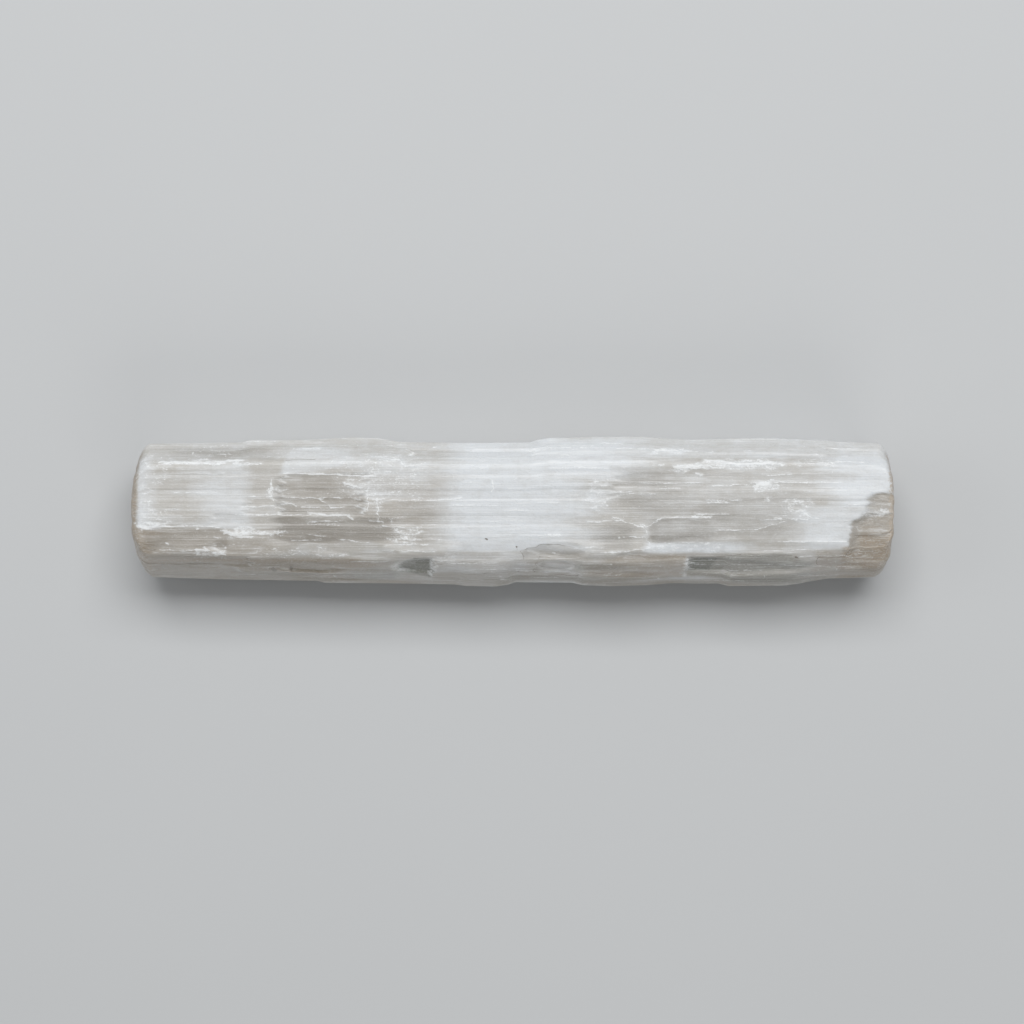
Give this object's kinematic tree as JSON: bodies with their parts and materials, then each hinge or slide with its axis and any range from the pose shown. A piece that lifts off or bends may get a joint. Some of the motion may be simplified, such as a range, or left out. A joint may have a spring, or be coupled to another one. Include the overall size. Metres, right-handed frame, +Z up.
{
  "type": "selenite crystal blade",
  "caption": "Raw satin spar selenite blade, a milky fibrous gypsum stick with splintered steps, worn edges and rounded grainy ends, lying on its flattest side.",
  "frame": {"origin": "under the middle of the blade, on the surface that it lies on", "axes": "+X along the blade and its fibres, towards the end with the stepped break; +Y across it, away from the bevelled front; +Z up"},
  "size_m": [0.1516, 0.0298, 0.0214],
  "materials": {
    "selenite": "milky translucent satin, silky along the fibres"
  },
  "bodies": {
    "root": {"selenite_blade": "selenite"}
  },
  "joints": []
}
